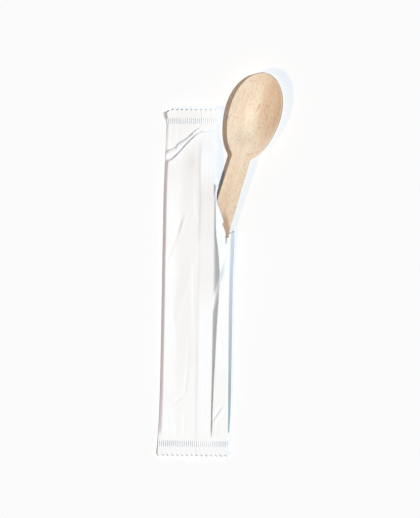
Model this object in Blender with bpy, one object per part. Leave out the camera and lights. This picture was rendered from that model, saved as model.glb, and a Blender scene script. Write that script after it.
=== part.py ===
"""A pressed wooden spoon, part way out of its torn paper wrapper, lying as they come to rest on a table.

Metres, +Z up. The wrapper lies along Y with its torn end at +Y, and its back is flat on z = 0. The origin is
the middle of that back. The spoon's bowl stands on the table beyond the tear, and the end of its handle is in
the wrapper.
"""

import math

import bmesh
import bpy

# Wrapper: a tube of thin paper with a long seam folded down flat and a crimped seal at each end.
WRAPPER_LENGTH = 0.219
BODY_WIDTH = 0.0437
BODY_SHIFT = 0.0005
SEAL_DEPTH = 0.0105
PAPER = 0.00015

# Long seam: the fin stands at the root, right of the middle, and is folded over to the right.
SEAM_OFFSET = 0.0013
FIN_WIDTH = 0.0091
FIN_TORN_WIDTH = 0.0080
FIN_LIFT = 0.0010
FIN_SPRING = 1.5

# Heights of the wrapper above the table, to the outside of the paper. The left panel sags in the middle, and
# right of the fin the paper dips before it rises to a ridge.
FOLD_HEIGHT = 0.0010
LEFT_HEIGHT = 0.0030
LEFT_SAG = 0.0012
SEAM_HEIGHT = 0.0034
DIP_HEIGHT = 0.0019
RIDGE_HEIGHT = 0.0024
RIDGE_LEAN = 0.7
SEAL_HEIGHT = 0.0008
BOTTOM_EDGE_HEIGHT = 0.0006
TOP_EDGE_HEIGHT = 0.0016

# Beside the tear the paper stands up towards its torn side: how far, and where that starts and is complete.
TILT = 0.0036
FRONT_TILT_START = 0.035
FRONT_TILT_END = 0.080
BACK_TILT_START = 0.052

# The left corner of the top seal, bent down and drawn back.
CORNER_WIDTH = 0.0026
CORNER_DROP = 0.0014
CORNER_BACK = 0.0029
CORNER_BACK_WIDTH = 0.0070

# Lengths over which the wrapper changes from flat seal to open tube, and its left side is drawn in.
END_RISE = 0.038
BACK_RISE = 0.009
TOP_DRAW_LENGTH = 0.045
TOP_DRAWN_IN = 0.0012
TOP_CORNER_OUT = 0.0029
SHOULDER = 0.0022
BACK_CURL = 0.0030

# Crimping and the pinked ends.
RIB_PITCH = 0.0013
RIB_HEIGHT = 0.00016
RIB_BAND = 0.0045
RIB_BAND_START = 0.0007
TOOTH_PITCH = 0.0031
TOOTH_DEPTH = 0.0011

# The pleat that crosses the left panel under the top seal, from the left edge up to the seam.
PLEAT_DROP_LEFT = 0.0205
PLEAT_DROP_SEAM = 0.0030
PLEAT_HALF_WIDTH = 0.0032
PLEAT_HEIGHT = 0.0009

# The tear, up the right side to the top. The front's torn edge, and the other one, which runs up beside the
# right side, over it and across the back: height above the tear's foot, and how far in from the right side.
# In the top seal: height above the seal's inner edge, and how far right of the fin.
TEAR_LENGTH = 0.0852
TEAR_INSET = 0.0044
TEAR_CROSSING = 0.0092
FRONT_TEAR = (
    (0.0039, 0.0047),
    (0.0065, 0.0045),
    (0.0097, 0.0054),
    (0.0123, 0.0066),
    (0.0182, 0.0073),
    (0.0231, 0.0090),
    (0.0279, 0.0105),
    (0.0322, 0.0105),
    (0.0357, 0.0094),
)
SIDE_TEAR = (
    (0.0030, 0.0040),
    (0.0052, 0.0032),
    (0.0068, 0.0021),
    (TEAR_CROSSING, 0.0),
    (0.0120, 0.0026),
    (0.0180, 0.0050),
    (0.0235, 0.0078),
    (0.0337, 0.0097),
    (0.0352, 0.0088),
)
TEAR_SPUR = 0.0012
TEAR_UNDER_FIN = 0.0014
SEAL_TEAR = ((0.0, 0.0004), (0.0040, 0.0019), (0.0105, 0.0028))

# Spoon: one piece of veneer, pressed to a bowl.
SPOON_LENGTH = 0.160
SPOON_THICKNESS = 0.0017
SPOON_EDGE_ROUND = 0.00035
BOWL_WIDTH = 0.0324
BOWL_FRONT = 0.025
BOWL_REAR = 0.0315
BOWL_DEPTH = 0.0056
NECK_WIDTH = 0.0122
NECK_FILLET = 0.0016
HANDLE_END_WIDTH = 0.0150
HANDLE_END_CORNER = 0.0050

# Where the spoon lies in the wrapper.
SPOON_ANGLE = math.radians(16.3)
HANDLE_HIDDEN = 0.0482
EXIT_MARGIN = 0.0044
SEAT_GAP = 0.0003
HANDLE_ROOM_SIDE = 0.0026
HANDLE_ROOM_END = 0.0052
DRAPE_SLOPE = 0.42
DRAPE_BLEND = 0.0008

# Fineness of the meshes.
ROW_STEP = 0.0065
PLEAT_ROW_STEP = 0.0022
LEAST_ROW_STEP = 0.0007
LEFT_COLUMNS = 8
FIN_COLUMNS = 3
RIGHT_COLUMNS = 5
FOLD_COLUMN = 3
BACK_CURL_COLUMNS = 2
BOWL_ROWS = 9
SPOON_COLUMNS = 12

# Looks: linear colour, roughness and the angle from which an edge counts as sharp.
WHITE_PAPER = (0.93, 0.93, 0.92, 1.0)
PAPER_ROUGHNESS = 0.75
PALE_BIRCH = (0.80, 0.60, 0.42, 1.0)
WOOD_ROUGHNESS = 0.6
SHARP_EDGE = math.radians(50)

HALF_LENGTH = WRAPPER_LENGTH / 2
TUBE_END = HALF_LENGTH - SEAL_DEPTH
TEAR_FOOT = HALF_LENGTH - TEAR_LENGTH
RIGHT_SIDE = BODY_WIDTH / 2 + BODY_SHIFT
SEAM_X = SEAM_OFFSET
SEAM_LEFT = SEAM_X - PAPER
SEAM_RIGHT = SEAM_X + PAPER


def clamp(value, low=0.0, high=1.0):
    return max(low, min(high, value))


def ease(value):
    """0 below 0 and 1 above 1, with a smooth rise between."""
    share = clamp(value)
    return share * share * (3 - 2 * share)


def mix(first, second, share):
    return first + (second - first) * share


def smooth_max(first, second, blend):
    """The larger of two values, rounded where they are nearly the same."""
    overlap = max(blend - abs(first - second), 0.0)
    return max(first, second) + overlap * overlap / (4 * blend)


def along(points, value):
    """The second number of a list of pairs, read off in straight lines at the first number."""
    for (low, first), (high, second) in zip(points, points[1:]):
        if value <= high:
            return mix(first, second, clamp((value - low) / (high - low)))
    return points[-1][1]


def shared_out(start, stop, count):
    return [mix(start, stop, k / count) for k in range(count)] + [stop]


# Spoon: its outline and the height of its middle surface, by the distance from the tip of the bowl.


def bowl_half_width(distance):
    reach = BOWL_FRONT if distance < BOWL_FRONT else BOWL_REAR
    share = clamp(abs(distance - BOWL_FRONT) / reach)
    return BOWL_WIDTH / 2 * math.sqrt(1 - share * share)


def neck_distance():
    return BOWL_FRONT + BOWL_REAR * math.sqrt(1 - (NECK_WIDTH / BOWL_WIDTH) ** 2)


def handle_half_width(distance):
    """Half the handle's width, spreading from the neck, with rounded corners at the end."""
    share = clamp((distance - neck_distance()) / (SPOON_LENGTH - neck_distance()))
    half = mix(NECK_WIDTH, HANDLE_END_WIDTH, share) / 2
    past = max(distance - (SPOON_LENGTH - HANDLE_END_CORNER), 0.0)
    return half - HANDLE_END_CORNER + math.sqrt(max(HANDLE_END_CORNER**2 - past**2, 0.0))


def spoon_half_width(distance):
    if distance < BOWL_FRONT:
        return bowl_half_width(distance)
    return smooth_max(bowl_half_width(distance), handle_half_width(distance), NECK_FILLET)


def bowl_sink(distance):
    """How far the middle of the bowl is pressed below the handle's plane."""
    if distance < BOWL_FRONT:
        return BOWL_DEPTH * (1 - ((BOWL_FRONT - distance) / BOWL_FRONT) ** 2)
    share = clamp((distance - BOWL_FRONT) / (neck_distance() - BOWL_FRONT))
    return BOWL_DEPTH * (1 + math.cos(math.pi * share)) / 2


def spoon_distances():
    """The stations along the spoon, close together at the tip and at the rounded end."""
    tip = [BOWL_FRONT * (1 - math.cos(math.pi / 2 * k / BOWL_ROWS)) for k in range(BOWL_ROWS)]
    rear = shared_out(BOWL_FRONT, neck_distance() - 2 * NECK_FILLET, BOWL_ROWS)
    neck = shared_out(neck_distance() - NECK_FILLET, neck_distance() + 2 * NECK_FILLET, 3)
    corner_start = SPOON_LENGTH - HANDLE_END_CORNER
    shaft = shared_out(neck[-1], corner_start, 6)[1:]
    corner = [corner_start + HANDLE_END_CORNER * math.sin(math.pi / 2 * k / 4) for k in range(1, 5)]
    return tip + rear + neck + shaft + corner


def spoon_pitch():
    """The angle at which the bowl stands on the table while the handle's end lies on the paper."""
    seat = PAPER + SEAT_GAP
    low, high = 0.0, math.radians(20)
    for _ in range(50):
        pitch = (low + high) / 2
        end_height = seat + SPOON_THICKNESS / 2 * math.cos(pitch)
        lowest = min(
            end_height
            + (SPOON_LENGTH - d) * math.sin(pitch)
            - (bowl_sink(d) + SPOON_THICKNESS / 2) * math.cos(pitch)
            for d in spoon_distances()
        )
        if lowest > 0:
            high = pitch
        else:
            low = pitch
    return high


PITCH = spoon_pitch()
HANDLE_END_HEIGHT = PAPER + SEAT_GAP + SPOON_THICKNESS / 2 * math.cos(PITCH)
EXIT_X = RIGHT_SIDE - EXIT_MARGIN - handle_half_width(SPOON_LENGTH - HANDLE_HIDDEN) / math.cos(SPOON_ANGLE)
HANDLE_END_X = EXIT_X - HANDLE_HIDDEN * math.sin(SPOON_ANGLE)
HANDLE_END_Y = TEAR_FOOT - HANDLE_HIDDEN * math.cos(SPOON_ANGLE)


def handle_lift(x, y):
    """The height that the front paper needs to clear the handle, falling away beside it."""
    dx = x - HANDLE_END_X
    dy = y - HANDLE_END_Y
    forward = dx * math.sin(SPOON_ANGLE) + dy * math.cos(SPOON_ANGLE)
    across = abs(dx * math.cos(SPOON_ANGLE) - dy * math.sin(SPOON_ANGLE))
    half = max(HANDLE_END_WIDTH, NECK_WIDTH) / 2
    beside = max(across - half - HANDLE_ROOM_SIDE, 0.0)
    behind = max(-forward - HANDLE_ROOM_END, 0.0)
    top = HANDLE_END_HEIGHT + max(forward, 0.0) * math.tan(PITCH) + SPOON_THICKNESS / 2 / math.cos(PITCH)
    return top + SEAT_GAP + PAPER - DRAPE_SLOPE * math.hypot(beside, behind)


# Wrapper: its sides, its tear and the height of its paper.


def left_side(y):
    """The left edge. It draws in below the top seal, and spreads to the seal's corner."""
    drawn_in = TOP_DRAWN_IN * ease(1 - (TUBE_END - y) / TOP_DRAW_LENGTH)
    spread = TOP_CORNER_OUT * clamp((y - TUBE_END) / SEAL_DEPTH)
    return BODY_SHIFT - BODY_WIDTH / 2 + drawn_in - spread


def fin_edge(y):
    """The free edge of the folded fin, which narrows beside the tear."""
    torn = ease((y - TEAR_FOOT) / (TUBE_END - TEAR_FOOT))
    return SEAM_X + mix(FIN_WIDTH, FIN_TORN_WIDTH, torn)


def tear_x(y, tear):
    """The x of one torn edge, from the foot of the tear to the top of the wrapper."""
    over_handle = [(TEAR_FOOT, RIGHT_SIDE - TEAR_INSET)]
    over_handle += [(TEAR_FOOT + height, RIGHT_SIDE - inset) for height, inset in tear]
    over_handle.append((over_handle[-1][0] + TEAR_SPUR, fin_edge(y) - TEAR_UNDER_FIN))
    over_handle.append((TUBE_END - TEAR_SPUR, fin_edge(y) - TEAR_UNDER_FIN))
    in_seal = [(TUBE_END + height, fin_edge(y) + beyond) for height, beyond in SEAL_TEAR]
    return along(over_handle + in_seal, y)


def corner_bend(x, y):
    """How far the top seal's left corner is bent: 0 where it is flat, and 1 at its tip."""
    return clamp(1 - (x - left_side(y)) / CORNER_WIDTH) * clamp((y - TUBE_END) / SEAL_DEPTH)


def tilt(x, y, start, end):
    """How far the paper beside the tear stands up at its torn side, where it starts and is complete at these y."""
    across = clamp((x - left_side(y)) / (fin_edge(y) - left_side(y)))
    return TILT * across * ease((y - start) / (end - start))


def seal_middle(x, y):
    """The height of the middle of a crimped seal. The top one stands up to the right of its bent corner."""
    share = clamp((abs(y) - TUBE_END) / SEAL_DEPTH)
    if y < 0:
        return mix(SEAL_HEIGHT, BOTTOM_EDGE_HEIGHT, share)
    level = mix(SEAL_HEIGHT, TOP_EDGE_HEIGHT, share)
    return level + tilt(x, y, FRONT_TILT_START, FRONT_TILT_END) - CORNER_DROP * corner_bend(x, y)


def pleat(x, y):
    """A raised fold across the left panel, steeper on its lower side."""
    across = clamp((x - left_side(y)) / (SEAM_LEFT - left_side(y)))
    middle = TUBE_END - mix(PLEAT_DROP_LEFT, PLEAT_DROP_SEAM, across)
    offset = (y - middle) / PLEAT_HALF_WIDTH
    if x > SEAM_LEFT or abs(offset) >= 1:
        return 0.0
    return PLEAT_HEIGHT * (1 - offset * offset) * (1 - offset) / 2 * (1 - across * across)


def panel_height(x, y):
    """The front paper with nothing under it: a sag, the seam, a dip at the fin's edge and a ridge."""
    left, edge = left_side(y), fin_edge(y)
    if x < SEAM_X:
        share = clamp((x - left) / (SEAM_X - left))
        return mix(LEFT_HEIGHT, SEAM_HEIGHT, share) - LEFT_SAG * 4 * share * (1 - share)
    if x < edge:
        return mix(SEAM_HEIGHT, DIP_HEIGHT, (x - SEAM_X) / (edge - SEAM_X))
    share = clamp((x - edge) / (RIGHT_SIDE - edge))
    return mix(DIP_HEIGHT, FOLD_HEIGHT, share) + RIDGE_HEIGHT * math.sin(math.pi * share**RIDGE_LEAN)


def shoulder(distance):
    """How far the paper has risen from a side fold, at a distance from it."""
    share = clamp(1 - distance / SHOULDER)
    return math.sqrt(1 - share * share)


def front_height(x, y):
    """The outside of the front paper, without the fin."""
    unsupported = panel_height(x, y) + tilt(x, y, FRONT_TILT_START, FRONT_TILT_END)
    target = smooth_max(unsupported, handle_lift(x, y), DRAPE_BLEND)
    rise = shoulder(x - left_side(y)) * shoulder(RIGHT_SIDE - x)
    body = mix(FOLD_HEIGHT, target, rise) + pleat(x, y)
    return mix(seal_middle(x, y) + PAPER, body, ease((TUBE_END - abs(y)) / END_RISE))


def back_height(x, y):
    """The outside of the back paper, flat on the table, with its side folds and its torn side standing up."""
    curl = clamp(1 - (x - left_side(y)) / BACK_CURL)
    curl = max(curl, clamp(1 - (RIGHT_SIDE - x) / BACK_CURL))
    body = FOLD_HEIGHT * (1 - math.sqrt(1 - curl * curl)) + tilt(x, y, BACK_TILT_START, TUBE_END)
    return mix(seal_middle(x, y) - PAPER, body, ease((TUBE_END - abs(y)) / BACK_RISE))


def fold_height(x, y):
    return mix(seal_middle(x, y), FOLD_HEIGHT, ease((TUBE_END - abs(y)) / BACK_RISE))


# Wrapper mesh: rows of points across the wrapper, joined into strips.


def strip(bm, first, second):
    """Faces between two chains of vertices. Chains of unlike length are matched by their x."""
    if len(first) == len(second):
        pairs = zip(first, first[1:], second, second[1:])
        corners = [(a, b, d, c) for a, b, c, d in pairs]
    else:
        corners = []
        i = j = 0
        direction = 1 if first[-1].co.x > first[0].co.x else -1
        while i < len(first) - 1 or j < len(second) - 1:
            ahead_first = direction * first[i + 1].co.x if i < len(first) - 1 else math.inf
            ahead_second = direction * second[j + 1].co.x if j < len(second) - 1 else math.inf
            if ahead_first <= ahead_second:
                corners.append((first[i], first[i + 1], second[j]))
                i += 1
            else:
                corners.append((first[i], second[j + 1], second[j]))
                j += 1
    for face in corners:
        distinct = list(dict.fromkeys(face))
        if len(distinct) > 2:
            bm.faces.new(distinct)


def inward(points, depth):
    """Points moved to their right by the paper's thickness, square to the line that they follow."""
    moved = []
    for k, (x, z) in enumerate(points):
        before = points[max(k - 1, 0)]
        after = points[min(k + 1, len(points) - 1)]
        dx, dz = after[0] - before[0], after[1] - before[1]
        length = math.hypot(dx, dz)
        moved.append((x + depth * dz / length, z - depth * dx / length))
    return moved


def left_points(y):
    """From the left fold to the seam, closer together at both."""
    left = left_side(y)
    columns = [mix(left, SEAM_LEFT, (1 - math.cos(math.pi * k / LEFT_COLUMNS)) / 2) for k in range(LEFT_COLUMNS + 1)]
    return [(left, fold_height(left, y))] + [(x, front_height(x, y)) for x in columns[1:]]


def panel_points(y):
    """From the seam to the torn edge, or to where the tear would be."""
    stop = tear_x(y, FRONT_TEAR)
    reach = min(fin_edge(y), stop - PAPER)
    columns = shared_out(SEAM_RIGHT, reach, FIN_COLUMNS)
    columns += [mix(reach, stop, math.sin(math.pi / 2 * k / RIGHT_COLUMNS)) for k in range(1, RIGHT_COLUMNS + 1)]
    return [(x, front_height(x, y)) for x in columns]


def side_points(y):
    """From the tear, or where it would be, over the right fold and along the back to the left one."""
    left, start = left_side(y), tear_x(y, SIDE_TEAR)
    over = []
    if y < TEAR_FOOT + TEAR_CROSSING:
        front = shared_out(start, RIGHT_SIDE, FOLD_COLUMN)[:-1]
        over = [(x, front_height(x, y)) for x in front] + [(RIGHT_SIDE, fold_height(RIGHT_SIDE, y))]
        start = RIGHT_SIDE
    count = FOLD_COLUMN + BACK_CURL_COLUMNS - len(over)
    curl = curl_columns(count + 1 if over else count)
    back = [start - d for d in (curl[1:] if over else curl)]
    back += [SEAM_X, (SEAM_X + left) / 2] + [left + d for d in reversed(curl_columns(BACK_CURL_COLUMNS)[1:])]
    return over + [(x, back_height(x, y)) for x in back] + [(left, fold_height(left, y))]


def curl_columns(count):
    """Distances from a side fold over the width of its curl, closer together at the fold."""
    return [BACK_CURL * (1 - math.cos(math.pi / 2 * k / count)) for k in range(count + 1)]


def points_at(bm, y, points):
    return [bm.verts.new((x, y, z)) for x, z in points]


def tube_row(bm, y):
    """One row of the open tube, as chains of vertices by name, from the left fold round to the right and back."""
    torn = y > TEAR_FOOT + LEAST_ROW_STEP / 2
    left, right, side = left_points(y), panel_points(y), side_points(y)
    row = {"torn": torn, "left": points_at(bm, y, left), "panel": points_at(bm, y, right)}
    if torn:
        row["side"] = points_at(bm, y, side[:-1])
    else:
        row["side"] = [row["panel"][-1]] + points_at(bm, y, side[1:-1])
    row["side"].append(row["left"][0])
    add_fin(bm, y, row)
    if abs(y) < TUBE_END:
        add_inside(bm, y, row, left + right, side)
    else:
        add_closed_inside(bm, y, row, [x for x, _ in left + right])
    return row


def add_fin(bm, y, row):
    """The fin's upper and lower sides, which meet the panels at its root."""
    edge = fin_edge(y)
    top = [(x, under_fin(x, y) + 2 * PAPER) for x in shared_out(SEAM_LEFT, edge, FIN_COLUMNS)]
    row["top"] = [row["left"][-1]] + points_at(bm, y, top)
    if abs(y) < TUBE_END:
        under = [(x, under_fin(x, y)) for x in shared_out(SEAM_RIGHT, edge, FIN_COLUMNS)[1:]]
        row["under"] = [row["panel"][0]] + points_at(bm, y, under)
    else:
        row["under"] = row["panel"][: FIN_COLUMNS + 1]
    row["edge"] = [row["top"][-1], row["under"][-1]]


def under_fin(x, y):
    """The fin's lower side. It stands off the panel, from nothing at its root to the most at its free edge."""
    share = clamp((x - SEAM_X) / (fin_edge(y) - SEAM_X))
    return front_height(x, y) + FIN_LIFT * ease((TUBE_END - abs(y)) / BACK_RISE) * share**FIN_SPRING


def add_inside(bm, y, row, front, side):
    """The inside of the paper. The front and the side are joined below the tear, and apart beside it."""
    if row["torn"]:
        row["inner_front"] = points_at(bm, y, inward([side[-2]] + front, PAPER)[1:])
        row["inner_side"] = points_at(bm, y, inward(side, PAPER)[:-1])
    else:
        row["inner_front"] = points_at(bm, y, inward([side[-2]] + front + [side[1]], PAPER)[1:-1])
        row["inner_side"] = [row["inner_front"][-1]] + points_at(bm, y, inward(side, PAPER)[1:-1])
    row["inner_side"].append(row["inner_front"][0])


def add_closed_inside(bm, y, row, columns):
    """The line along which the inside ends, where a seal begins."""
    reach = [columns[0] + 2 * PAPER] + columns[1:]
    if not row["torn"]:
        reach[-1] -= 2 * PAPER
    row["inner_front"] = points_at(bm, y, [(x, seal_middle(x, y)) for x in reach])
    row["inner_side"] = row["inner_front"][::-1]


def join_tube_rows(bm, low, high):
    for name in ("left", "top", "edge", "under", "panel", "side", "inner_front", "inner_side"):
        strip(bm, low[name], high[name])
    if low["torn"] or high["torn"]:
        for outer, inner, end in (("panel", "inner_front", -1), ("side", "inner_side", 0)):
            strip(bm, [low[outer][end], low[inner][end]], [high[outer][end], high[inner][end]])


def seal_sections(y, torn):
    """Where a row across a seal starts, meets the seam, leaves the fin and ends."""
    right = tear_x(y, FRONT_TEAR) if torn else RIGHT_SIDE
    return left_side(y), SEAM_LEFT, min(fin_edge(y), right - PAPER), right


def seal_row(bm, y, torn, columns, shift=lambda x: 0.0, rib=0.0):
    """One row across a crimped seal. Its columns come as a list of x for each section."""
    row = {"torn": torn}
    left, top, right = columns
    rib_side = {x: (-1) ** k for k, x in enumerate(left + top[1:] + right[1:])}

    def vertex(x, layers):
        return bm.verts.new((x, y + shift(x), seal_middle(x, y) + rib * rib_side[x] + layers * PAPER))

    row["left"] = [vertex(left[0], 0)] + [vertex(x, 1) for x in left[1:]]
    row["top"] = [row["left"][-1]] + [vertex(x, 3) for x in top]
    row["right"] = [vertex(x, 1) for x in right[:-1]] + [vertex(right[-1], 1 if torn else 0)]
    row["edge"] = [row["top"][-1], row["right"][0]]
    behind = [vertex(x, -1) for x in reversed(left[1:] + top[1:] + right[1:-1])]
    first = vertex(right[-1], -1) if torn else row["right"][-1]
    row["side"] = [first] + behind + [row["left"][0]]
    return row


def rib_columns(sections):
    """Columns half a rib apart in each section of the seal."""
    spans = []
    for start, stop in zip(sections, sections[1:]):
        count = max(2, round((stop - start) / (RIB_PITCH / 2)))
        spans.append(shared_out(start, stop, count))
    return spans


def tooth_columns(sections):
    """Columns a quarter of a tooth apart, with the ends of each section."""
    quarter = TOOTH_PITCH / 4
    spans = []
    for start, stop in zip(sections, sections[1:]):
        first, last = math.ceil(start / quarter), math.floor(stop / quarter)
        inside = [k * quarter for k in range(first, last + 1)]
        clear = [x for x in inside if start + quarter / 3 < x < stop - quarter / 3]
        spans.append([start] + clear + [stop])
    return spans


def seal(bm, start, end):
    """A crimped seal from the last row of the tube to its pinked edge. end is 1 at the top, -1 at the bottom."""
    torn = start["torn"]
    band = [RIB_BAND_START, RIB_BAND_START + RIB_PITCH / 3]
    band += [RIB_BAND_START + RIB_BAND - RIB_PITCH / 3, RIB_BAND_START + RIB_BAND]
    heights = [0.0, RIB_HEIGHT, RIB_HEIGHT, 0.0]
    start["right"] = start["panel"][FIN_COLUMNS:]
    if not torn:
        start["right"] = start["right"] + start["side"][1 : FOLD_COLUMN + 1]
        start["side"] = start["side"][FOLD_COLUMN:]
    rows = [start]
    for depth, height in zip(band, heights):
        y = end * (TUBE_END + depth)
        columns = rib_columns(seal_sections(y, torn))
        rows.append(seal_row(bm, y, torn, columns, rib=height))

    y = end * HALF_LENGTH
    columns = tooth_columns(seal_sections(y, torn))

    def pinking(x):
        notch = TOOTH_DEPTH * (1 - math.cos(2 * math.pi * x / TOOTH_PITCH)) / 2
        corner = CORNER_BACK * clamp(1 - (x - left_side(y)) / CORNER_BACK_WIDTH) if end > 0 else 0.0
        return -end * (notch + corner)

    rows.append(seal_row(bm, y, torn, columns, shift=pinking))
    for low, high in zip(rows, rows[1:]):
        for name in ("left", "top", "edge", "right", "side"):
            strip(bm, low[name], high[name])
        if torn:
            close_torn_seal(bm, low, high)
    close_end(bm, rows[-1])


def close_torn_seal(bm, low, high):
    """The torn side of the seal, where the two layers are one."""
    if "inner_front" in low:
        front, middle, back = low["right"][-1], low["inner_front"][-1], low["side"][0]
        bm.faces.new((front, middle, high["right"][-1]))
        bm.faces.new((middle, back, high["side"][0]))
        bm.faces.new((middle, high["side"][0], high["right"][-1]))
    else:
        strip(bm, [low["right"][-1], low["side"][0]], [high["right"][-1], high["side"][0]])


def close_end(bm, row):
    """The cut edge of the paper at the end of a seal."""
    left, top, right, back = row["left"], row["top"][1:], row["right"], row["side"]
    bm.faces.new((left[-1], top[0], top[1]))
    bm.faces.new((top[-2], top[-1], right[0]))
    front = left + top[1:-1] + right
    strip(bm, front, back[::-1])


def row_places():
    """The y of the tube's rows: evenly spaced, closer at the pleat, and at each point of the tear."""
    fine_from = TUBE_END - PLEAT_DROP_LEFT - 2 * PLEAT_HALF_WIDTH
    coarse = shared_out(-TUBE_END, fine_from, math.ceil((fine_from + TUBE_END) / ROW_STEP))
    fine = shared_out(fine_from, TUBE_END, math.ceil((TUBE_END - fine_from) / PLEAT_ROW_STEP))
    keys = [TEAR_FOOT]
    for tear in (FRONT_TEAR, SIDE_TEAR):
        keys += [TEAR_FOOT + height for height, _ in tear]
        keys.append(TEAR_FOOT + tear[-1][0] + TEAR_SPUR)
    keys = [y for y in keys if -TUBE_END < y < TUBE_END]
    places = sorted(set(keys))
    for y in coarse + fine:
        if all(abs(y - other) > LEAST_ROW_STEP for other in places) or abs(y) == TUBE_END:
            places.append(y)
    return sorted(places)


def build_wrapper():
    bm = bmesh.new()
    rows = [tube_row(bm, y) for y in row_places()]
    for low, high in zip(rows, rows[1:]):
        join_tube_rows(bm, low, high)
    seal(bm, rows[0], -1)
    seal(bm, rows[-1], 1)
    bmesh.ops.recalc_face_normals(bm, faces=bm.faces)
    return finish_object("wrapper", bm, WHITE_PAPER, PAPER_ROUGHNESS)


def build_spoon():
    """The pressed veneer: its middle surface, thickened, with its edges eased."""
    bm = bmesh.new()
    rows = []
    for distance in spoon_distances():
        half = spoon_half_width(distance)
        sink = bowl_sink(distance)
        row = []
        for k in range(SPOON_COLUMNS + 1):
            share = 2 * k / SPOON_COLUMNS - 1
            if half < SPOON_EDGE_ROUND:
                share = 0.0
            height = -sink * (1 - share * share)
            row.append(bm.verts.new((share * half, SPOON_LENGTH - distance, height)))
        if half < SPOON_EDGE_ROUND:
            for spare in row[1:]:
                bm.verts.remove(spare)
            row = row[:1] * len(row)
        rows.append(row)
    for low, high in zip(rows, rows[1:]):
        strip(bm, low, high)
    bmesh.ops.recalc_face_normals(bm, faces=bm.faces)
    spoon = finish_object("spoon", bm, PALE_BIRCH, WOOD_ROUGHNESS)
    thick = spoon.modifiers.new("veneer", "SOLIDIFY")
    thick.thickness = SPOON_THICKNESS
    thick.offset = 0.0
    thick.use_even_offset = True
    eased = spoon.modifiers.new("eased edges", "BEVEL")
    eased.width = SPOON_EDGE_ROUND
    eased.segments = 1
    eased.limit_method = "ANGLE"
    eased.angle_limit = SHARP_EDGE
    spoon.rotation_euler = (PITCH, 0.0, -SPOON_ANGLE)
    spoon.location = (HANDLE_END_X, HANDLE_END_Y, HANDLE_END_HEIGHT)
    return spoon


def finish_object(name, bm, colour, roughness):
    """An object from a bmesh, with its own plain material, shaded smooth away from its sharp edges."""
    mesh = bpy.data.meshes.new(name)
    bm.to_mesh(mesh)
    bm.free()
    mesh.shade_smooth()
    mesh.set_sharp_from_angle(angle=SHARP_EDGE)
    material = bpy.data.materials.new(name)
    material.use_nodes = True
    shader = material.node_tree.nodes["Principled BSDF"]
    shader.inputs["Base Color"].default_value = colour
    shader.inputs["Roughness"].default_value = roughness
    shader.inputs["Metallic"].default_value = 0.0
    mesh.materials.append(material)
    made = bpy.data.objects.new(name, mesh)
    bpy.context.scene.collection.objects.link(made)
    return made


def main():
    for old in list(bpy.data.objects):
        bpy.data.objects.remove(old)
    build_wrapper()
    build_spoon()


main()
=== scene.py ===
"""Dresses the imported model: a birch spoon part way out of its torn paper wrapper, on a white table.

The shapes are worked out in millimetres, and go to metres where vertices are made. The wrapper lies along Y with
its torn end at +Y, as in the frame.
"""

import math

import bmesh
import bpy
from mathutils import Euler, Matrix, Vector, noise


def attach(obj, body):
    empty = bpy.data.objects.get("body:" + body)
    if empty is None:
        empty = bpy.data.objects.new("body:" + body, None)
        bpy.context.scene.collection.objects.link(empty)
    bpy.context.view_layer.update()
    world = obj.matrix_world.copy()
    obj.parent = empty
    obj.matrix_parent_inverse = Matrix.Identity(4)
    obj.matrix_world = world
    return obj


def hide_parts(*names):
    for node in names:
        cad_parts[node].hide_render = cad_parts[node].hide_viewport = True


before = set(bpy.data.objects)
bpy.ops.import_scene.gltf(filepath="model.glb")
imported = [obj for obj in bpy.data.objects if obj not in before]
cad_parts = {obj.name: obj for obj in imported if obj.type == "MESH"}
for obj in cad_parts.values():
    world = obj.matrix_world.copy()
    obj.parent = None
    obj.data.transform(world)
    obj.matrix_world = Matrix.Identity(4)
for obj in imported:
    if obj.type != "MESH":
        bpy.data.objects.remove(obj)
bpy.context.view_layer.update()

MM = 0.001

# Wrapper: half its length, where the tube ends and the seals begin, and the paper's thickness.
HALF_LENGTH = 109.5
TUBE_END = 99.0
SEAL_DEPTH = HALF_LENGTH - TUBE_END
PAPER = 0.09

# The side creases, as pairs of y and x, and how far left the top seal's corner lies.
LEFT_SIDE = (
    (-109.5, -22.9), (-99.0, -22.6), (-78.0, -21.9), (-50.0, -21.6), (-20.0, -21.5), (30.0, -21.4),
    (60.0, -21.2), (80.0, -20.6), (99.0, -20.1),
)
RIGHT_SIDE = (
    (-109.5, 22.2), (-97.0, 22.1), (-78.0, 22.8), (-10.0, 22.9), (8.0, 23.1), (20.0, 23.5), (33.0, 23.6),
)
TOP_CORNER = -23.1

# Heights of the front paper, as pairs of y and height, in their order from the left crease to the right one.
FOLD_HEIGHT = 0.6
LEFT_HEIGHT = (
    (-99.0, 1.7), (-80.0, 2.2), (-60.0, 2.6), (-40.0, 2.9), (0.0, 3.2), (50.0, 3.2), (66.0, 2.8), (80.0, 2.0),
    (99.0, 1.2),
)
VALLEY_HEIGHT = ((-99.0, 0.9), (-80.0, 1.6), (-50.0, 1.9), (0.0, 2.1), (40.0, 2.6), (75.0, 2.9), (99.0, 1.2))
SEAM_HEIGHT = ((-99.0, 0.9), (-80.0, 1.9), (-50.0, 2.9), (-10.0, 3.6), (40.0, 3.9), (75.0, 3.6), (99.0, 1.6))
DIP_HEIGHT = ((-99.0, 0.9), (-80.0, 1.3), (-50.0, 1.7), (0.0, 2.1), (30.0, 2.6), (60.0, 3.2), (99.0, 1.6))
RIGHT_HEIGHT = ((-99.0, 1.7), (-80.0, 2.9), (-50.0, 3.4), (0.0, 3.6), (24.0, 3.9), (50.0, 3.9), (99.0, 3.0))

# The left panel's valley ends, and its rise to the seam starts, at these shares of its width.
VALLEY_SHARE = 0.5
SEAM_RISE_SHARE = 0.25

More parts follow.
